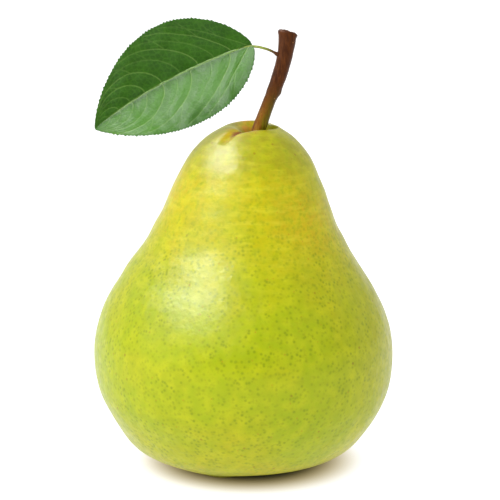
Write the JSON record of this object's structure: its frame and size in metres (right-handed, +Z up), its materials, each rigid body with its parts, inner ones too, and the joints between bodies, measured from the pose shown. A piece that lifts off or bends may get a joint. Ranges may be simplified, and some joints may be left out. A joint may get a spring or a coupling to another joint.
{
  "type": "pear",
  "caption": "Whole fresh pear standing on its blossom end, with a bent woody stem and a finely toothed folded leaf on a slim petiole.",
  "frame": {"origin": "on the surface that the pear stands on, under the middle of its belly", "axes": "+Z up, from the blossom end towards the stem; +X towards the side that the stem bends to, with the leaf on the -X side; -Y is the side that the leaf's upper face looks to"},
  "size_m": [0.0768, 0.0768, 0.1152],
  "materials": {
    "fruit_skin": "satin",
    "stem_bark": "satin",
    "leaf_blade": "satin",
    "calyx_dry": "matte"
  },
  "bodies": {
    "root": {"fruit": "fruit_skin", "stem": "stem_bark", "leaf": "leaf_blade", "calyx": "calyx_dry"}
  },
  "joints": []
}
